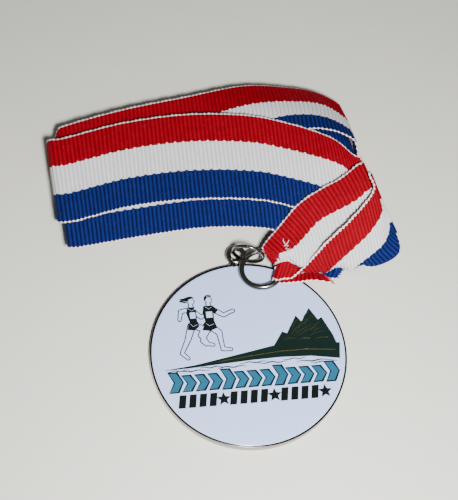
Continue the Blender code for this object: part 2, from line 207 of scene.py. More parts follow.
def grosgrain():
    """Red, white and blue stripes by place across the strip, scalloped at every rib."""
    nodes = Nodes("grosgrain")
    across = nodes.add("ShaderNodeAttribute", attribute_name="across").outputs["Fac"]
    along = nodes.add("ShaderNodeAttribute", attribute_name="along").outputs["Fac"]
    wave = nodes.value("COSINE", nodes.value("MULTIPLY", along, 2 * math.pi / RIB_PITCH))
    pairs = nodes.value("COSINE", nodes.value("MULTIPLY", along, math.pi / RIB_PITCH))
    ragged = nodes.value("MULTIPLY_ADD", nodes.noise(900.0), RAGGED, -RAGGED / 2)
    place = nodes.value("ADD", nodes.value("MULTIPLY_ADD", wave, RIB_SCALLOP, across), ragged)
    place = nodes.value("MULTIPLY_ADD", pairs, PAIR_SCALLOP, place)

    # Painted shade in the rib grooves: darkest on the blue stripe, lightest on the white.
    crest = nodes.value("POWER", nodes.value("MULTIPLY_ADD", wave, 0.5, 0.5), 0.5)
    red = stripe(nodes, "9c001a", "820012", crest, 0.55, "1a0006")
    white = stripe(nodes, "eceaec", "d6d2d8", crest, 0.42, "3c3840")
    blue = stripe(nodes, "182a72", "121f5a", nodes.value("POWER", crest, 1.4), 0.85, "01030c")
    body = nodes.mix(nodes.value("GREATER_THAN", place, 1 / 3), red, white)
    body = nodes.mix(nodes.value("GREATER_THAN", place, 2 / 3), body, blue)

    picot = nodes.mix(nodes.noise(1500.0, 2.0), linear("fff0f0"), linear("d8b4ba"))
    off_middle = nodes.value("ABSOLUTE", nodes.value("SUBTRACT", across, 0.5))
    loops = nodes.value("MULTIPLY_ADD", wave, -PICOT_LOOP, nodes.spread(across, 0.482, 0.492))
    body = nodes.mix(nodes.value("GREATER_THAN", off_middle, loops), body, picot)
    # Painted glints: sparse white specks stand in for light sparkling on single threads.
    painted_glint_mask = nodes.value("GREATER_THAN", nodes.noise(5200.0, 1.0), 0.74)
    body = nodes.mix(nodes.value("MULTIPLY", painted_glint_mask, 0.10), body, linear("ffffff"))
    nodes.link(body, nodes.shader.inputs["Base Color"])
    nodes.link(nodes.spread(nodes.noise(1800.0), 0.55, 0.8), nodes.shader.inputs["Roughness"])
    nodes.shader.inputs["Sheen Weight"].default_value = 0.02
    nodes.shader.inputs["Sheen Roughness"].default_value = 0.4
    nodes.shader.inputs["Specular IOR Level"].default_value = 0.05
    nodes.bump(nodes.noise(4200.0, 2.0), 0.35, 0.00005)
    return nodes.mat


def table_paint():
    """Pale, slightly uneven table top."""
    nodes = Nodes("pale_table")
    nodes.link(nodes.mix(nodes.noise(60.0, 4.0), linear("dcdbd2"), linear("d4d4cb")),
               nodes.shader.inputs["Base Color"])
    nodes.shader.inputs["Roughness"].default_value = 0.6
    return nodes.mat


NICKEL = plated("bright_nickel", "a9a498", 0.2, 0.1)
RIM_NICKEL = plated("dark_rim_nickel", "3c3a40", 0.18, 0.1)
WIRE_NICKEL = plated("dark_wire_nickel", "8a8780", 0.13, 0.1)
WHITE = enamel("white_enamel", "b8cbf6", "b0c4f0")
BLACK = enamel("black_enamel", "0c1412", "060a0c")
PINE = enamel("pine_black_enamel", "0e201c", "08120f")
TEAL = enamel("teal_enamel", "265f7c", "1c4c66")
GOLD = plated("fine_gold_line", "a89a5c", 0.3, 0.1)
RIBBON = grosgrain()
THREAD_WHITE = thread("white_thread", "e8dde0", "c8b8bc")
THREAD_RED = thread("red_thread", "b80818", "7c0410")
THREAD_BLUE = thread("blue_thread", "1c2f86", "101c50")
TABLE = table_paint()


# ---------------------------------------------------------------- mesh helpers
def add_object(name, mesh, mat):
    item = bpy.data.objects.new(name, mesh)
    mesh.materials.append(mat)
    bpy.context.scene.collection.objects.link(item)
    return item


def from_bmesh(name, bm, mat, angle=35):
    """Object from a bmesh, smooth but for edges sharper than angle degrees."""
    bmesh.ops.recalc_face_normals(bm, faces=bm.faces)
    mesh = bpy.data.meshes.new(name)
    bm.to_mesh(mesh)
    bm.free()
    mesh.shade_smooth()
    mesh.set_sharp_from_angle(angle=math.radians(angle))
    return add_object(name, mesh, mat)


def lathe(name, profile, mat, steps=180):
    """Turn a (radius, height) outline in millimetres about +Z."""
    bm = bmesh.new()
    rings = []
    for step in range(steps):
        angle = 2 * math.pi * step / steps
        rings.append([bm.verts.new((r * math.cos(angle) * MM, r * math.sin(angle) * MM, z * MM))
                      for r, z in profile])
    for step in range(steps):
        here = rings[step]
        after = rings[(step + 1) % steps]
        for row in range(len(profile) - 1):
            bm.faces.new((here[row], after[row], after[row + 1], here[row + 1]))
    bmesh.ops.remove_doubles(bm, verts=bm.verts, dist=1e-7)
    bmesh.ops.dissolve_degenerate(bm, edges=bm.edges, dist=1e-7)
    return from_bmesh(name, bm, mat)


def tube(bm, points, radius, sides=10, closed=False):
    """Round wire along points in millimetres; radius may be one size or one per point."""
    points = [Vector(point) for point in points]
    count = len(points)
    rows = []
    side_axis = None
    for index, point in enumerate(points):
        if closed:
            along = points[(index + 1) % count] - points[index - 1]
        else:
            along = points[min(index + 1, count - 1)] - points[max(index - 1, 0)]
        along.normalize()
        if side_axis is None:
            pick = Vector((0, 0, 1)) if abs(along.z) < 0.9 else Vector((1, 0, 0))
            side_axis = along.cross(pick).normalized()
        side_axis = (side_axis - along * side_axis.dot(along)).normalized()
        other = along.cross(side_axis)
        size = radius[index] if isinstance(radius, (list, tuple)) else radius
        row = []
        for side in range(sides):
            angle = 2 * math.pi * side / sides
            offset = side_axis * (size * math.cos(angle)) + other * (size * math.sin(angle))
            row.append(bm.verts.new((point + offset) * MM))
        rows.append(row)
    last = count if closed else count - 1
    for index in range(last):
        here = rows[index]
        after = rows[(index + 1) % count]
        for side in range(sides):
            nearby = (side + 1) % sides
            bm.faces.new((here[side], after[side], after[nearby], here[nearby]))
    if not closed:
        bm.faces.new(rows[0])
        bm.faces.new(rows[-1])


PLATE_STEP = 0.0015


def plates(name, outlines, bottom, top, mat):
    """Thin raised shapes from outlines in millimetres, all in one piece.

    Each stands a step above the one before, so that overlapping tops never share a plane.
    """
    bm = bmesh.new()
    for order, outline in enumerate(outlines):
        level = (top + PLATE_STEP * order) * MM
        lower = [bm.verts.new((x * MM, y * MM, bottom * MM)) for x, y in outline]
        upper = [bm.verts.new((x * MM, y * MM, level)) for x, y in outline]
        bm.faces.new(lower)
        bm.faces.new(upper)
        for index in range(len(outline)):
            nearby = (index + 1) % len(outline)
            bm.faces.new((lower[index], lower[nearby], upper[nearby], upper[index]))
    bmesh.ops.triangulate(bm, faces=[face for face in bm.faces if len(face.verts) > 4])
    return from_bmesh(name, bm, mat, angle=20)


def limb(start, end, start_radius, end_radius, sides=10):
    """Outline of a rounded, tapered limb between two points."""
    heading = math.atan2(end[1] - start[1], end[0] - start[0])
    outline = []
    for center, radius, first in ((start, start_radius, 90), (end, end_radius, -90)):
        for step in range(sides + 1):
            angle = heading + math.radians(first) + math.pi * step / sides
            outline.append((center[0] + radius * math.cos(angle),
                            center[1] + radius * math.sin(angle)))
    return outline


def stroke(points, widths):
    """Outline of a pen stroke through points, with a width at each."""
    left = []
    right = []
    for index, (x, y) in enumerate(points):
        before = points[max(index - 1, 0)]
        after = points[min(index + 1, len(points) - 1)]
        angle = math.atan2(after[1] - before[1], after[0] - before[0]) + math.pi / 2
        half = widths[index] / 2
        left.append((x + half * math.cos(angle), y + half * math.sin(angle)))
        right.append((x - half * math.cos(angle), y - half * math.sin(angle)))
    return left + right[::-1]


# ---------------------------------------------------------------- ribbon shape
# A station is four points across the ribbon, in millimetres: red selvage, red/white
# line, white/blue line, blue selvage. The same place across all stations is a lane.
def section(red_x, blue_x, red_y, blue_y, red_z, blue_z, sag=0.0):
    """Straight station from the red selvage to the blue one, lifted by sag in between."""
    station = []
    for part in (0.0, 1 / 3, 2 / 3, 1.0):
        x = red_x + (blue_x - red_x) * part
        y = red_y + (blue_y - red_y) * part
        z = red_z + (blue_z - red_z) * part + sag * 4 * part * (1 - part)
        station.append((x, y, z))
    return station


def turn(first, last, depth, box=1.0):
    """Half-turn stations bulging by depth along X; box below 1 presses the turn flat."""
    stations = []
    for degrees in (25, 55, 90, 125, 155):
        angle = math.radians(degrees)
        blend = (1 - math.copysign(abs(math.cos(angle)) ** box, math.cos(angle))) / 2
        station = []
        for a, b in zip(first, last):
            x, y, z = (a[i] + (b[i] - a[i]) * blend for i in range(3))
            station.append((x + depth * math.sin(angle) ** box, y, z))
        stations.append(station)
    return stations


def wrap(radius, degrees, *reach):
    """Station gathered round the wire of the ribbon ring at an angle about the wire."""
    station = []
    for spot in reach:
        out = Vector((math.cos(math.radians(spot)), math.sin(math.radians(spot)), 0))
        wire = RING_CENTER + out * RING_RADIUS
        wire.z += RING_SLOPE * RING_RADIUS * out.x
        angle = math.radians(degrees)
        point = wire + out * (radius * math.cos(angle))
        point.z += radius * math.sin(angle)
        station.append(tuple(point))
    return station


WRAP_OUTER = 1.65
WRAP_INNER = 1.06

# From end to end: tab a, round the ring, arm a, passes a1 to a4, passes b4 to b1,
# panel b, arm b, round the ring inside the first wrap, and tab b.
tab_a = [
    [(22.0, 30.2, 0.42), (23.6, 27.4, 0.42), (28.2, 23.4, 0.42), (26.0, 20.2, 0.42)],
    [(18.6, 29.2, 0.9), (19.9, 26.3, 0.9), (21.2, 23.1, 1.0), (21.8, 20.2, 1.3)],
    [(15.0, 27.6, 2.2), (15.9, 24.6, 2.4), (16.6, 21.4, 2.9), (16.4, 18.5, 3.5)],
]
wrap_a = [
    wrap(WRAP_OUTER, 262, 45, 14, -14, -48),
    wrap(WRAP_OUTER, 232, 46, 14, -10, -40),
    wrap(WRAP_OUTER, 202, 48, 14, 0, -20),
    wrap(WRAP_OUTER, 172, 52, 14, 10, 0),
    wrap(WRAP_OUTER, 142, 66, 14, 16, 20),
    wrap(WRAP_OUTER, 112, 80, 14, 22, 34),
    wrap(WRAP_OUTER, 84, 84, 14, 26, 46),
]
arm_a = [
    [(8.3, 30.0, 6.9), (10.5, 24.9, 7.4), (12.8, 25.2, 6.0), (13.0, 27.6, 5.3)],
    [(11.5, 33.1, 7.9), (14.6, 26.4, 8.0), (16.2, 21.4, 6.9), (15.4, 25.4, 5.2)],
    [(17.0, 38.0, 10.6), (21.9, 32.6, 10.3), (25.0, 27.2, 8.0), (25.8, 25.3, 4.0)],
    [(23.4, 41.1, 12.8), (27.5, 34.6, 12.4), (31.0, 29.0, 8.8), (32.5, 26.6, 4.2)],
    [(28.4, 42.9, 14.3), (32.0, 36.4, 13.6), (35.0, 30.4, 9.2), (36.3, 27.6, 4.6)],
    [(33.6, 46.2, 15.4), (35.6, 38.9, 14.4), (37.4, 32.0, 9.4), (38.4, 28.4, 5.0)],
]
pass_a1 = [
    [(33.6, 49.4, 14.2), (35.0, 42.0, 12.9), (36.4, 35.2, 9.2), (37.2, 30.4, 4.8)],
    [(29.0, 55.2, 13.4), (29.6, 47.4, 12.9), (30.2, 39.4, 10.6), (30.8, 31.8, 6.6)],
    section(23.0, 23.0, 59.2, 34.4, 12.6, 9.2, 1.0),
    section(16.0, 16.0, 62.6, 37.4, 11.8, 9.5, 0.3),
    section(8.0, 8.0, 65.6, 39.9, 11.0, 9.8),
    section(-9.0, -9.0, 68.0, 41.6, 9.6, 9.6),
    section(-27.0, -27.0, 66.6, 40.8, 9.3, 9.2),
    section(-44.2, -42.7, 62.9, 37.6, 9.0, 9.0),
]
pass_a2 = [
    section(-44.2, -42.7, 65.6, 42.5, 0.8, 0.8),
    section(-27.0, -27.0, 64.6, 39.8, 0.8, 0.8),
    section(-9.0, -9.0, 64.5, 39.1, 0.8, 0.8),
    section(8.0, 8.0, 64.8, 39.4, 0.8, 0.8),
    section(19.0, 19.0, 62.5, 37.1, 0.8, 0.8),
    section(27.0, 27.0, 59.5, 34.5, 0.8, 1.0),
    section(31.5, 32.0, 57.5, 32.8, 0.8, 1.2),
]
pass_a3 = [
    [(32.6, 71.6, 5.8), (33.6, 64.2, 8.8), (33.8, 59.4, 11.0), (34.2, 55.2, 12.6)],
    [(27.2, 75.5, 5.2), (28.4, 68.9, 8.5), (27.9, 63.6, 11.0), (28.0, 58.8, 12.5)],
    [(19.0, 77.4, 5.5), (19.4, 70.6, 8.5), (19.2, 65.2, 10.5), (19.0, 59.6, 11.4)],
    [(8.0, 78.3, 6.0), (8.0, 70.4, 8.4), (8.0, 63.6, 9.3), (8.0, 55.6, 8.7)],
    section(-9.0, -9.0, 75.4, 50.2, 6.6, 7.2),
    section(-27.0, -27.0, 72.2, 47.0, 6.8, 6.6),
    section(-43.2, -41.6, 68.0, 43.2, 6.8, 6.5),
]
pass_a4 = [
    section(-43.2, -41.6, 62.0, 37.6, 3.2, 3.2),
    section(-27.0, -27.0, 64.0, 38.6, 3.2, 3.3),
    section(-9.0, -9.0, 66.0, 40.6, 3.1, 3.7),
    section(8.0, 8.0, 66.5, 41.1, 3.0, 4.4),
    section(19.0, 19.0, 64.5, 39.1, 2.9, 4.8),
    section(29.0, 29.0, 60.5, 35.6, 2.9, 4.6),
]
pass_b4 = [
    section(29.0, 29.0, 63.4, 38.2, 4.4, 7.0),
    section(19.0, 19.0, 67.5, 42.1, 4.0, 6.4),
    section(8.0, 8.0, 69.5, 44.1, 4.2, 5.8),
    section(-9.0, -9.0, 68.0, 42.6, 4.3, 5.0),
    section(-27.0, -27.0, 65.5, 40.1, 4.4, 4.5),
    section(-42.0, -40.4, 63.0, 38.4, 4.4, 4.4),
]
pass_b3 = [
    section(-42.0, -40.4, 65.2, 40.0, 5.6, 5.4),
    section(-27.0, -27.0, 69.0, 43.6, 5.6, 5.5),
    section(-9.0, -9.0, 72.0, 46.6, 5.4, 6.0),
    section(8.0, 8.0, 74.4, 49.2, 5.0, 7.0),
    section(19.0, 19.0, 75.0, 52.6, 4.4, 8.8),
    [(26.0, 73.2, 4.3), (26.8, 67.6, 6.9), (27.2, 62.4, 9.6), (27.6, 53.6, 11.3)],
    [(31.4, 69.2, 4.8), (32.2, 63.8, 7.6), (32.8, 58.8, 10.2), (33.6, 50.6, 11.6)],
]
pass_b2 = [
    section(31.4, 32.4, 56.6, 32.6, 1.9, 2.4),
    section(19.0, 19.0, 61.5, 36.1, 1.9, 3.2),
    section(8.0, 8.0, 64.0, 38.6, 1.9, 3.0),
    section(-9.0, -9.0, 64.0, 38.6, 2.0, 2.4),
    section(-27.0, -27.0, 62.0, 36.6, 2.0, 2.1),
    section(-42.8, -41.4, 59.2, 34.4, 2.0, 2.0),
]
pass_b1 = [
    section(-42.8, -41.4, 56.2, 30.7, 7.9, 7.6),
    section(-27.0, -27.0, 57.9, 32.4, 8.0, 7.6),
    section(-9.0, -9.0, 59.2, 33.8, 8.4, 7.9),
    section(5.0, 5.0, 58.6, 33.2, 9.4, 7.5),
    section(12.0, 12.0, 57.0, 32.0, 10.2, 6.9, 0.4),
    section(19.0, 19.0, 54.4, 30.6, 11.0, 6.0, 0.8),
    section(26.0, 26.0, 51.2, 29.4, 11.8, 4.6, 1.4),
    [(32.6, 47.0, 12.6), (35.0, 40.4, 11.0), (38.2, 34.0, 7.0), (40.2, 29.6, 2.8)],
]
panel_b = [
    [(35.8, 42.6, 16.4), (38.2, 36.6, 12.6), (41.2, 32.4, 7.2), (43.0, 30.4, 4.6)],
    [(36.4, 38.2, 16.6), (38.4, 33.2, 12.4), (40.8, 30.2, 6.6), (43.6, 28.6, 4.2)],
    [(29.5, 30.6, 14.8), (34.8, 28.4, 10.4), (39.0, 27.0, 5.9), (43.9, 26.4, 3.4)],
    [(22.6, 25.8, 11.4), (30.2, 25.2, 7.7), (35.8, 24.9, 4.2), (43.4, 25.2, 2.4)],
    [(17.4, 21.6, 8.0), (25.8, 22.6, 4.6), (32.2, 23.0, 2.5), (42.2, 24.4, 1.6)],
    [(14.2, 19.4, 5.7), (23.4, 21.5, 2.2), (30.2, 21.9, 1.2), (40.4, 23.8, 0.9)],
]
arm_b = [
    [(13.2, 18.9, 5.1), (22.8, 21.2, 2.9), (28.8, 22.6, 1.4), (35.6, 23.0, 0.7)],
    [(12.2, 18.8, 5.3), (18.0, 21.0, 4.6), (22.8, 24.6, 3.0), (27.8, 28.4, 2.2)],
    [(11.0, 18.7, 5.6), (12.6, 23.6, 5.9), (14.2, 26.0, 5.2), (14.6, 28.6, 4.6)],
]
wrap_b = [wrap(WRAP_INNER, degrees, -54, 8, 24, 40)
          for degrees in (84, 112, 142, 172, 202, 232, 262)]
tab_b = [
    [(14.4, 18.0, 4.4), (15.2, 20.8, 3.8), (15.2, 24.2, 3.2), (14.4, 27.2, 3.2)],
    [(19.2, 18.6, 3.5), (19.4, 22.0, 2.2), (18.6, 25.2, 1.7), (17.4, 28.4, 1.7)],
    [(24.6, 18.6, 1.15), (22.6, 21.4, 1.0), (20.4, 24.4, 1.0), (18.2, 27.4, 1.0)],
]

# Rows of the mesh for each rib, where the ribbon shows and inside the coil.
FINE = 4
COARSE = 0.4
# Each run: its stations, whether its ribs lie along the stations, and its rows for each rib.
runs = [
    (tab_a, True, FINE),
    (wrap_a, True, FINE),
    (arm_a, False, FINE),
    (turn(arm_a[-1], pass_a1[0], 1.4), True, FINE),
    (pass_a1, True, FINE),
    (turn(pass_a1[-1], pass_a2[0], -3.2, 0.5), True, FINE),
    (pass_a2, True, COARSE),
    (turn(pass_a2[-1], pass_a3[0], 1.8), True, FINE),
    (pass_a3, True, FINE),
    (turn(pass_a3[-1], pass_a4[0], -1.8), True, FINE),
    (pass_a4, True, COARSE),
    (turn(pass_a4[-1], pass_b4[0], 1.5), True, COARSE),
    (pass_b4, True, COARSE),
    (turn(pass_b4[-1], pass_b3[0], -0.8), True, COARSE),
    (pass_b3, True, COARSE),
    (turn(pass_b3[-1], pass_b2[0], 1.4), True, FINE),
    (pass_b2, True, COARSE),
    (turn(pass_b2[-1], pass_b1[0], -2.4, 0.5), True, FINE),
    (pass_b1, True, FINE),
    (turn(pass_b1[-1], panel_b[0], 1.5), True, FINE),
    (panel_b, False, FINE),
    (arm_b, False, FINE),
    (wrap_b, True, FINE),
    (tab_b, True, FINE),
]


def rounded(line, steps):
    """Centripetal Catmull-Rom points through one lane, so many steps to each station."""
    points = [np.array(point, float) for point in line]
    ends = [2 * points[0] - points[1]] + points + [2 * points[-1] - points[-2]]
    result = []
    for index in range(1, len(ends) - 2):
        p0, p1, p2, p3 = ends[index - 1:index + 3]
        t1 = max(np.linalg.norm(p1 - p0), 1e-3) ** 0.5
        t2 = t1 + max(np.linalg.norm(p2 - p1), 1e-3) ** 0.5
        t3 = t2 + max(np.linalg.norm(p3 - p2), 1e-3) ** 0.5
        for t in np.linspace(t1, t2, steps, endpoint=False):
            a1 = p0 * (t1 - t) / t1 + p1 * t / t1
            a2 = p1 * (t2 - t) / (t2 - t1) + p2 * (t - t1) / (t2 - t1)
            a3 = p2 * (t3 - t) / (t3 - t2) + p3 * (t - t2) / (t3 - t2)
            b1 = a1 * (t2 - t) / t2 + a2 * t / t2
            b2 = a2 * (t3 - t) / (t3 - t1) + a3 * (t - t1) / (t3 - t1)
            result.append(b1 * (t2 - t) / (t2 - t1) + b2 * (t - t1) / (t2 - t1))
    result.append(points[-1])
    return np.array(result)


LANE_STEPS = 12


def ribbon_rows():
    """Rows of four lane points, and each row's place along the flat ribbon."""
    stations = []
    tied = []
    fine = []
    for run, follows, rows in runs:
        for station in run:
            stations.append(station)
            tied.append(follows)
            fine.append(rows)
    tied[0] = True
    tied[-1] = True
    lanes = [rounded([station[lane] for station in stations], LANE_STEPS) for lane in range(4)]
    lengths = []
    for lane in lanes:
        gaps = np.linalg.norm(np.diff(lane, axis=0), axis=1)
        lengths.append(np.concatenate([[0.0], np.cumsum(gaps)]))

    # Every lane agrees on the place of the tied stations; between them it keeps its own pace.
    anchors = [index * LANE_STEPS for index, held in enumerate(tied) if held]
    mean = np.mean(lengths, axis=0)
    places = [np.interp(length, length[anchors], mean[anchors]) for length in lengths]
    station_place = np.mean(places, axis=0)[::LANE_STEPS]
    total = mean[-1]
    marks = []
    place = 0.0
    while place < total:
        marks.append(place)
        index = min(np.searchsorted(station_place, place), len(fine) - 1)
        place += RIB_PITCH / fine[index]
    marks.append(total)
    marks = np.array(marks)
    rows = np.zeros((len(marks), 4, 3))
    for lane in range(4):
        for axis in range(3):
            rows[:, lane, axis] = np.interp(marks, places[lane], lanes[lane][:, axis])
    return rows, marks


def across_weights(part):
    """Catmull-Rom weights of the four lanes at a place across the ribbon."""
    span = min(int(part * 3), 2)
    t = part * 3 - span
    blend = (-t / 2 + t * t - t ** 3 / 2, 1 - 2.5 * t * t + 1.5 * t ** 3,
             t / 2 + 2 * t * t - 1.5 * t ** 3, (t ** 3 - t * t) / 2)
    weights = [0.0] * 4
    for offset, weight in enumerate(blend):
        lane = span - 1 + offset
        if lane < 0:
            weights[0] += 2 * weight
            weights[1] -= weight
        elif lane > 3:
            weights[3] += 2 * weight
            weights[2] -= weight
        else:
            weights[lane] += weight
    return weights


# Columns of the mesh, as shares of the way across from the red selvage.
COLUMNS = (0.0, 0.016, 0.045, 0.12, 0.2, 0.27, 1 / 3, 0.4, 0.5, 0.6, 2 / 3,
           0.73, 0.8, 0.88, 0.955, 0.984, 1.0)
WIDE = len(COLUMNS)
SELVAGE_THICKNESS = 0.55


def ribbon_sides(rows, marks):
    """Front and back points of the ribbed strip, one grid of rows and columns each."""
    wave = np.cos(2 * math.pi * marks / RIB_PITCH)
    grid = np.zeros((len(marks), WIDE, 3))
    for column, part in enumerate(COLUMNS):
        for lane, weight in enumerate(across_weights(part)):
            grid[:, column] += rows[:, lane] * weight
    # The selvages waver with the ribs and, more slowly, of their own.
    edge = 0.02 + 0.12 * wave + 0.08 * np.sin(marks * 1.31) + 0.05 * np.sin(marks * 3.7 + 1)
    for side, inner in ((0, 2), (-1, -3)):
        out = grid[:, side] - grid[:, inner]
        out /= np.linalg.norm(out, axis=1)[:, None] + 1e-9
        grid[:, side] += out * edge[:, None]
    normal = np.cross(np.gradient(grid, axis=0), np.gradient(grid, axis=1))
    normal /= np.linalg.norm(normal, axis=2)[:, :, None] + 1e-9
    half = THICKNESS / 2 + RIB_HEIGHT * wave[:, None] * np.ones(WIDE)[None, :]
    half[:, 0] *= SELVAGE_THICKNESS
    half[:, -1] *= SELVAGE_THICKNESS
    return grid + normal * half[:, :, None], grid - normal * half[:, :, None]


def shell_faces(count):
    """Faces of a closed strip of count rows, front points first and back points after them."""
    faces = []
    under = count * WIDE
    for row in range(count - 1):
        for column in range(WIDE - 1):
            a = row * WIDE + column
            b = a + WIDE
            faces.append((a, b, b + 1, a + 1))
            faces.append((under + a, under + a + 1, under + b + 1, under + b))
        for column in (0, WIDE - 1):
            a = row * WIDE + column
            b = a + WIDE
            ring = (a, under + a, under + b, b)
            faces.append(ring if column == 0 else ring[::-1])
    for row in (0, count - 1):
        for column in range(WIDE - 1):
            a = row * WIDE + column
            ring = (a, a + 1, under + a + 1, under + a)
            faces.append(ring if row == 0 else ring[::-1])
    return faces


def build_ribbon():
    """The whole ribbon, with each point's place across and along it for the weave."""
    rows, marks = ribbon_rows()
    front, back = ribbon_sides(rows, marks)
    verts = np.concatenate([front.reshape(-1, 3), back.reshape(-1, 3)]) * MM
    mesh = bpy.data.meshes.new("neck_ribbon_cloth")
    mesh.from_pydata(verts.tolist(), [], shell_faces(len(marks)))
    across = mesh.attributes.new("across", "FLOAT", "POINT")
    across.data.foreach_set("value", np.tile(np.array(COLUMNS), len(marks) * 2))
    along = mesh.attributes.new("along", "FLOAT", "POINT")
    along.data.foreach_set("value", np.tile(np.repeat(marks, WIDE), 2))
    mesh.shade_smooth()
    return add_object("neck_ribbon_cloth", mesh, RIBBON), marks[-1]


ribbon, ribbon_length = build_ribbon()
print("ribbon length in mm", ribbon_length, "faces", len(ribbon.data.polygons))
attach(ribbon, "ribbon")
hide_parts("neck_ribbon")

# ---------------------------------------------------------------- medal disc and lug
def at_rim(*spots):
    """Outline points given by their inset from the disc's side and their rise over its top."""
    return [(DISC_RADIUS - inset, DISC_TOP + rise) for inset, rise in spots]


disc = lathe("medal_disc", [
    (0.0, 0.0), (DISC_RADIUS - 0.5, 0.0), (DISC_RADIUS - 0.15, 0.12), (DISC_RADIUS, 0.4),
    *at_rim((0.0, -0.3), (0.1, -0.08), (0.4, -0.04), (0.5, -0.2), (DISC_RADIUS, -0.2)),
], NICKEL)
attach(disc, "medal")
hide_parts("medal_casting")
rim = lathe("medal_rim_line", at_rim(
    (0.5, -0.16), (0.5, 0.0), (0.42, 0.03), (0.16, 0.02), (0.04, -0.06), (0.12, -0.14),
    (0.5, -0.16),
), RIM_NICKEL)
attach(rim, "medal")
field = lathe("enamel_face", at_rim(
    (DISC_RADIUS, -0.18), (0.54, -0.18), (0.52, -0.06), (0.66, 0.0), (1.1, 0.02),
    (DISC_RADIUS, 0.02),
), WHITE)
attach(field, "medal")
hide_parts("enamel_field")


def build_lug():
    """Round eye on two short legs and a bar that sink into the disc's edge."""
    bm = bmesh.new()
    eye = [(LUG_RADIUS * math.cos(angle), LUG_Y + LUG_RADIUS * math.sin(angle), LUG_Z)
           for angle in np.linspace(0, 2 * math.pi, 64, endpoint=False)]
    tube(bm, eye, LUG_WIRE, sides=18, closed=True)
    for side in (-1, 1):
        leg = [(1.5 * side, 24.9, 1.75), (1.05 * side, 25.7, 1.8), (0.9 * side, 26.6, 1.9)]
        tube(bm, leg, [1.1, 0.85, 0.6], sides=14)
    tube(bm, [(-1.6, 25.1, 1.7), (1.6, 25.1, 1.7)], LUG_WIRE, sides=14)
    return from_bmesh("medal_lug", bm, WIRE_NICKEL)


lug = build_lug()
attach(lug, "medal")

# ---------------------------------------------------------------- enamel art
HEAD_LINE = 0.24
LIMB_LINE = 0.28


def around(center, spots):
    """Outline given by offsets from a centre."""
    return [(center[0] + x, center[1] + y) for x, y in spots]


def grown(outline, grow):
    """Outline pushed away from its own middle."""
    middle_x = sum(x for x, y in outline) / len(outline)
    middle_y = sum(y for x, y in outline) / len(outline)
    spread = []
    for x, y in outline:
        far = math.hypot(x - middle_x, y - middle_y)
        spread.append((x + (x - middle_x) * grow / far, y + (y - middle_y) * grow / far))
    return spread


def limbs(*joints):
    """Outlines of limbs with and without their black line, from start, end and two radii."""
    outer = [limb(start, end, first + LIMB_LINE, last + LIMB_LINE)
             for start, end, first, last in joints]
    inner = [limb(start, end, first, last) for start, end, first, last in joints]
    return outer, inner


def eye_mark(head):
    """Small square eye on a head seen from the side."""
    return around(head, [(0.35, 0.3), (0.58, 0.3), (0.58, 0.08), (0.35, 0.08)])


FACE_SHAPE = [
    (-0.75, 0.5), (-0.2, 0.95), (0.45, 0.9), (0.72, 0.45), (0.78, 0.1), (1.02, -0.15),
    (0.76, -0.28), (0.74, -0.7), (0.4, -1.05), (-0.1, -0.95), (-0.55, -0.6), (-0.85, -0.1),
]
SHORT_HAIR = [
    (-0.95, -0.35), (-1.1, 0.4), (-0.75, 1.05), (0.0, 1.35), (0.75, 1.15), (0.9, 0.7),
    (0.3, 0.62), (-0.3, 0.5), (-0.55, -0.1),
]
LONG_HAIR = [
    (-0.5, -0.3), (-1.5, -0.5), (-2.6, -0.2), (-3.1, 0.25), (-2.4, 0.35), (-2.9, 0.8),
    (-1.9, 0.75), (-1.0, 1.1), (0.0, 1.3), (0.75, 1.1), (0.85, 0.7), (0.2, 0.6), (-0.4, 0.4),
]
front_head = (-8.9, 15.8)
back_head = (-13.5, 15.7)
front_limbs = limbs(
    ((-9.9, 8.4), (-11.7, 5.9), 0.82, 0.6), ((-11.7, 5.9), (-10.3, 3.6), 0.55, 0.36),
    ((-10.3, 3.4), (-8.8, 3.0), 0.4, 0.26),
    ((-9.0, 14.6), (-8.9, 13.8), 0.42, 0.46),
    ((-9.2, 8.4), (-7.0, 6.3), 0.85, 0.66), ((-7.0, 6.3), (-6.5, 1.9), 0.58, 0.36),
    ((-6.5, 1.7), (-4.4, 1.4), 0.42, 0.26),
    ((-7.6, 12.6), (-5.3, 11.1), 0.5, 0.42), ((-5.3, 11.1), (-3.2, 12.0), 0.42, 0.3),
    ((-3.2, 12.0), (-2.7, 12.1), 0.36, 0.3),
)
back_limbs = limbs(
    ((-13.6, 14.5), (-13.4, 13.8), 0.4, 0.42),
    ((-13.0, 8.6), (-9.9, 7.1), 0.8, 0.58), ((-9.9, 7.1), (-11.5, 4.4), 0.54, 0.36),
    ((-11.5, 4.2), (-10.6, 3.2), 0.38, 0.26),
    ((-13.9, 8.6), (-15.2, 4.9), 0.84, 0.62), ((-15.2, 4.9), (-17.0, 1.4), 0.56, 0.36),
    ((-17.0, 1.2), (-15.6, -0.3), 0.4, 0.26),
    ((-14.1, 13.2), (-16.3, 12.9), 0.5, 0.42), ((-16.3, 12.9), (-16.8, 10.6), 0.42, 0.3),
    ((-12.9, 12.6), (-11.2, 10.9), 0.48, 0.4), ((-11.2, 10.9), (-9.6, 11.9), 0.4, 0.28),
)
back_face = around(back_head, FACE_SHAPE)
front_face = around(front_head, FACE_SHAPE)
black_shapes = [*back_limbs[0], grown(back_face, HEAD_LINE),
                *front_limbs[0], grown(front_face, HEAD_LINE)]
white_shapes = [*back_limbs[1], back_face, *front_limbs[1], front_face]
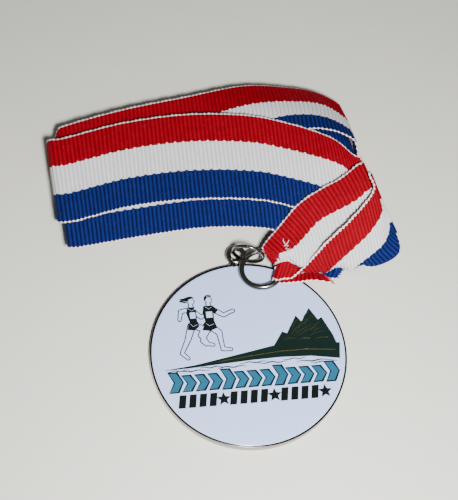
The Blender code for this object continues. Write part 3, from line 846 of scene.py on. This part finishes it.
# Shirts, shorts, hair and eyes.
clothes = [
    [(-14.6, 13.9), (-12.9, 13.9), (-12.3, 12.8), (-12.3, 9.6), (-14.2, 9.4), (-14.9, 12.2)],
    [(-14.5, 9.5), (-12.1, 9.7), (-11.9, 8.3), (-13.2, 7.3), (-15.0, 7.6)],
    [(-10.3, 14.0), (-8.0, 14.0), (-6.6, 12.7), (-7.2, 11.8), (-7.8, 12.1), (-7.9, 9.4),
     (-10.2, 9.4), (-10.7, 12.0)],
    [(-10.4, 9.5), (-7.8, 9.5), (-7.3, 7.6), (-9.2, 6.9), (-11.2, 7.2)],
    around(back_head, LONG_HAIR),
    around(front_head, SHORT_HAIR),
    eye_mark(back_head),
    eye_mark(front_head),
]
# Plain bibs, collar and waist lines, and a light streak in each head of hair.
bibs = [
    [(-14.0, 12.4), (-12.6, 12.4), (-12.6, 10.7), (-14.0, 10.7)],
    [(-9.8, 12.3), (-8.2, 12.3), (-8.2, 10.6), (-9.8, 10.6)],
    stroke([(-14.4, 13.6), (-13.4, 12.8), (-12.6, 13.3)], [0.06, 0.06, 0.06]),
    stroke([(-9.8, 13.7), (-8.9, 13.0), (-8.2, 13.6)], [0.06, 0.06, 0.06]),
    stroke([(-14.2, 9.2), (-13.5, 8.4), (-12.4, 8.9)], [0.05, 0.07, 0.05]),
    stroke([(-10.1, 9.1), (-9.3, 8.3), (-8.1, 8.8)], [0.05, 0.07, 0.05]),
    around(back_head, [(-0.5, -0.3), (-2.2, 0.1), (-0.5, -0.15)]),
    around(front_head, [(-0.4, 0.85), (0.3, 1.05), (0.35, 0.98), (-0.35, 0.78)]),
]
track = [
    (-21.9, -3.15), (-16.0, -3.0), (-8.0, -2.5), (0.1, -2.0), (8.0, -1.75), (16.0, -2.05),
    (23.3, -3.25), (23.9, 1.1), (21.8, 1.35), (14.0, 1.6), (6.4, 1.55), (0.0, 0.35),
    (-6.0, -0.75), (-14.0, -2.2), (-21.9, -3.05),
]
peaks = [
    (6.6, 1.4), (9.3, 5.3), (10.5, 4.7), (13.4, 9.5), (14.7, 7.7), (17.1, 11.4),
    (19.1, 7.9), (20.1, 8.6), (22.4, 3.4), (23.0, 1.2),
]
# Fine gold hatching on the slopes, then the track's lane mark.
contours = []
for start, end in (
        ((12.0, 5.6), (14.0, 8.6)), ((11.6, 4.4), (15.2, 7.2)), ((12.2, 3.9), (17.2, 6.6)),
        ((13.6, 4.0), (18.6, 6.0)), ((14.9, 7.8), (16.9, 10.4)), ((15.4, 6.8), (17.4, 8.9)),
        ((12.8, 4.9), (16.4, 8.0)), ((16.4, 3.6), (20.2, 4.6)), ((13.9, 6.9), (16.2, 8.3)),
        ((16.9, 5.0), (19.6, 7.4)), ((17.3, 4.6), (19.8, 5.6)), ((9.4, 2.8), (12.4, 3.2)),
        ((13.4, 2.7), (16.2, 2.9)), ((17.4, 2.5), (21.0, 2.8)), ((17.2, 9.3), (18.2, 8.5))):
    middle = ((start[0] + end[0]) / 2 - 0.25, (start[1] + end[1]) / 2 + 0.25)
    contours.append(stroke([start, middle, end], [0.05, 0.1, 0.05]))
lane_mark = [(-8.0, -1.75), (0.0, -0.85), (8.0, -0.15), (15.0, -0.05), (22.4, -0.75)]
contours.append(stroke(lane_mark, [0.05, 0.1, 0.13, 0.13, 0.1]))
WAVE_STEPS = 14
waves = []
for left, right, height, widest in (
        (-19.5, -10.5, -3.75, 0.14), (-8.5, -1.0, -3.4, 0.16), (2.0, 9.5, -3.0, 0.16),
        (12.0, 21.5, -3.3, 0.16), (-13.0, -6.5, -3.1, 0.13), (-2.6, 4.6, -2.6, 0.13),
        (8.6, 14.6, -2.45, 0.13), (15.6, 22.6, -3.9, 0.12), (-21.3, -15.5, -3.5, 0.1)):
    line = []
    sizes = []
    for step in range(WAVE_STEPS + 1):
        part = step / WAVE_STEPS
        line.append((left + (right - left) * part,
                     height + 0.16 * math.sin(part * 4 * math.pi + left)))
        sizes.append(0.13 + 1.3 * widest * math.sin(math.pi * part))
    waves.append(stroke(line, sizes))


def chevron(x, y, width, height, thick, grow=0.0):
    """Pointed arrow bar opening to the left."""
    top = y + height / 2 + grow
    low = y - height / 2 - grow
    left = x - width / 2 - grow
    tip = x + width / 2 + grow
    thick += 2 * grow
    return [(left, top), (left + thick, top), (tip, y), (left + thick, low), (left, low),
            (tip - thick, y)]


def star(x, y, radius):
    """Five-pointed star with one point up."""
    points = []
    for step in range(10):
        angle = math.pi / 2 + math.pi * step / 5
        reach = radius if step % 2 == 0 else radius * 0.45
        points.append((x + reach * math.cos(angle), y + reach * math.sin(angle)))
    return points


# Chevrons, every fourth one tall, each with a black edge.
CHEVRON_WIDTH = 3.3
CHEVRON_THICK = 1.9
CHEVRON_EDGE = 0.38
teal_shapes = []
teal_edges = []
for index in range(13):
    x = -19.4 + 3.35 * index
    height = 5.0 if index % 4 == 0 else 3.9
    y = -7.0 if index % 4 else -6.6
    teal_edges.append(chevron(x, y, CHEVRON_WIDTH, height, CHEVRON_THICK, CHEVRON_EDGE))
    teal_shapes.append(chevron(x, y, CHEVRON_WIDTH, height, CHEVRON_THICK))
# Leaning bars, every fifth place a star.
BAR_LOW = -13.6
BAR_HIGH = -10.1
bar_shapes = []
for index in range(15):
    x = -18.2 + 2.6 * index
    if index % 5 == 4:
        bar_shapes.append(star(x, -11.9, 1.9))
    else:
        bar_shapes.append([(x - 1.25, BAR_LOW), (x + 0.55, BAR_LOW), (x + 1.15, BAR_HIGH),
                           (x - 0.65, BAR_HIGH)])
# Each piece of art: its outlines, rise over the disc, material, the record's finish for it
# and the CAD node it stands for.
for name, outlines, rise, mat, finish, node in (
        ("runner_outline", black_shapes, 0.03, BLACK, "black_enamel", "runner_figure"),
        ("runner_fill", white_shapes, 0.065, WHITE, "white_enamel", None),
        ("runner_clothes", clothes, 0.105, BLACK, "black_enamel", None),
        ("runner_bibs", bibs, 0.12, WHITE, "white_enamel", None),
        ("track_band", [track], 0.06, PINE, "black_enamel", "running_track"),
        ("twin_peaks", [peaks], 0.07, PINE, "black_enamel", "mountain_peaks"),
        ("contour_lines", contours, 0.1, GOLD, None, None),
        ("wave_lines", waves, 0.05, BLACK, "black_enamel", None),
        ("chevron_edges", teal_edges, 0.05, BLACK, "black_enamel", None),
        ("chevron_bars", teal_shapes, 0.1, TEAL, "teal_enamel", "chevron_row"),
        ("star_and_bar_row", bar_shapes, 0.08, BLACK, "black_enamel", "diamond_row")):
    piece = plates(name, outlines, DISC_TOP, DISC_TOP + rise, mat)
    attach(piece, "medal")
    if node:
        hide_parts(node)

# ---------------------------------------------------------------- stitching and frayed ends
rng = np.random.default_rng(7)


def fringe(name, start, end, height, away, count, mat):
    """Loose threads along a cut end from start to end, standing out in the away direction."""
    bm = bmesh.new()
    for index in range(count):
        part = (index + rng.uniform(0.2, 0.8)) / count
        x = start[0] + (end[0] - start[0]) * part
        y = start[1] + (end[1] - start[1]) * part
        z = height[0] + (height[1] - height[0]) * part + rng.uniform(-0.12, 0.12)
        reach = rng.uniform(0.5, 1.3)
        dx = away[0] * reach + rng.uniform(-0.35, 0.35)
        dy = away[1] * reach + rng.uniform(-0.35, 0.35)
        root = (x - away[0] * 0.4, y - away[1] * 0.4, z)
        crook = (x + dx * 0.5, y + dy * 0.5, z + 0.12)
        tip = (x + dx, y + dy, max(z - 0.15, 0.12))
        tube(bm, [root, crook, tip], [0.11, 0.1, 0.05], sides=6)
    return from_bmesh(name, bm, mat)


red_fray = fringe("red_frayed_end", (24.5, 18.7), (22.9, 21.0), height=(1.1, 1.0),
                  away=(0.9, -0.35), count=16, mat=THREAD_RED)
blue_fray = fringe("blue_frayed_end", (26.0, 20.3), (28.1, 23.3), height=(0.42, 0.42),
                   away=(0.9, -0.1), count=18, mat=THREAD_BLUE)


def build_stitches():
    """Zigzag bar tack over the gathered neck, its two loose tails and the seam below it."""
    bm = bmesh.new()
    tack = [(12.3, 27.6, 8.35), (12.6, 27.2, 8.45), (12.0, 27.0, 8.4), (13.1, 26.9, 8.5),
            (12.3, 26.1, 8.35), (13.5, 25.9, 8.35), (12.7, 25.2, 8.2), (13.9, 25.0, 8.1)]
    tube(bm, tack, 0.13, sides=8)
    tube(bm, [tack[0], (11.9, 28.4, 8.6), (12.1, 29.0, 8.7)], [0.12, 0.1, 0.06], sides=8)
    tube(bm, [tack[1], (13.2, 27.9, 8.8), (13.4, 28.3, 9.0)], [0.12, 0.1, 0.06], sides=8)
    tube(bm, [tack[-1], (14.9, 23.4, 7.8), (15.9, 21.6, 7.3)], [0.1, 0.1, 0.09], sides=8)
    return from_bmesh("bar_tack_threads", bm, THREAD_WHITE)


stitches = build_stitches()
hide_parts("bar_tack_stitching")
for piece in (red_fray, blue_fray, stitches):
    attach(piece, "ribbon")

# ---------------------------------------------------------------- rings
def wire_ring(name, center, radius, across, up, wire, span, steps, sides):
    """Wire bent round in the plane of two directions, over a span of degrees short of a turn."""
    circle = []
    for angle in np.linspace(math.radians(span[0]), math.radians(span[1]), steps):
        reach = across * (radius * math.cos(angle)) + up * (radius * math.sin(angle))
        circle.append(center + reach)
    bm = bmesh.new()
    tube(bm, circle, wire, sides)
    return from_bmesh(name, bm, WIRE_NICKEL)


jump = wire_ring("jump_ring_wire", JUMP_CENTER, JUMP_RADIUS,
                 across=Vector((math.cos(JUMP_HEADING), math.sin(JUMP_HEADING), 0.0)),
                 up=Vector((0.0, 0.0, 1.0)), wire=JUMP_WIRE, span=(100, 457.5), steps=90, sides=16)
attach(jump, "jump_ring")
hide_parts("jump_ring")

ring = wire_ring("ribbon_ring_wire", RING_CENTER, RING_RADIUS,
                 across=Vector((1.0, 0.0, RING_SLOPE)), up=Vector((0.0, 1.0, 0.0)),
                 wire=RING_WIRE, span=(-36, 321), steps=120, sides=20)
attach(ring, "ribbon_ring")
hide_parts("ribbon_ring")

# ---------------------------------------------------------------- camera, light, floor
CAMERA_AT = (-0.05085, -0.14437, 0.35889)
CAMERA_ANGLES = (-15.758, 63.093, 10.302)
CAMERA_VIEW = 18.79

scene = bpy.context.scene
azimuth, elevation, roll = (math.radians(degrees) for degrees in CAMERA_ANGLES)
back = Vector((math.sin(azimuth) * math.cos(elevation),
               -math.cos(azimuth) * math.cos(elevation), math.sin(elevation)))
right = Vector((math.cos(azimuth), math.sin(azimuth), 0.0))
up = back.cross(right)
cam_right = right * math.cos(roll) + up * math.sin(roll)
cam_up = up * math.cos(roll) - right * math.sin(roll)
turned = Matrix((cam_right, cam_up, back)).transposed().to_4x4()
lens = bpy.data.cameras.new("camera")
lens.sensor_fit = "VERTICAL"
lens.angle_y = math.radians(CAMERA_VIEW)
lens.clip_start = 0.01
camera = bpy.data.objects.new("camera", lens)
camera.matrix_world = Matrix.Translation(CAMERA_AT) @ turned
scene.collection.objects.link(camera)
scene.camera = camera


def area_light(name, place, aim, size, power, color, spread=180):
    """Round soft light at a place, turned to its aim, with its spread in degrees."""
    data = bpy.data.lights.new(name, "AREA")
    data.shape = "DISK"
    data.size = size
    data.energy = power
    data.color = color
    data.spread = math.radians(spread)
    item = bpy.data.objects.new(name, data)
    item.location = place
    item.rotation_euler = (Vector(aim) - Vector(place)).to_track_quat("-Z", "Y").to_euler()
    scene.collection.objects.link(item)


flash_at = Vector(camera.location) + cam_right * 0.06 - cam_up * 0.045
area_light("flash", flash_at, aim=(0.012, -0.05, 0.0), size=0.06, power=0.95,
           color=(1.0, 1.0, 0.985), spread=84)
area_light("room", (0.3, -0.7, 0.5), aim=(0.0, 0.02, 0.0), size=0.5, power=0.8,
           color=(0.97, 1.0, 0.97))

world = bpy.data.worlds.new("room_air")
world.use_nodes = True
world.node_tree.nodes["Background"].inputs["Color"].default_value = linear("c8ccc6")
world.node_tree.nodes["Background"].inputs["Strength"].default_value = 0.2
scene.world = world

TABLE_REACH = 1.5
bm = bmesh.new()
for x, y in ((-1, -1), (1, -1), (1, 1), (-1, 1)):
    bm.verts.new((x * TABLE_REACH, y * TABLE_REACH, 0.0))
bm.faces.new(bm.verts)
floor = from_bmesh("table_top", bm, TABLE)
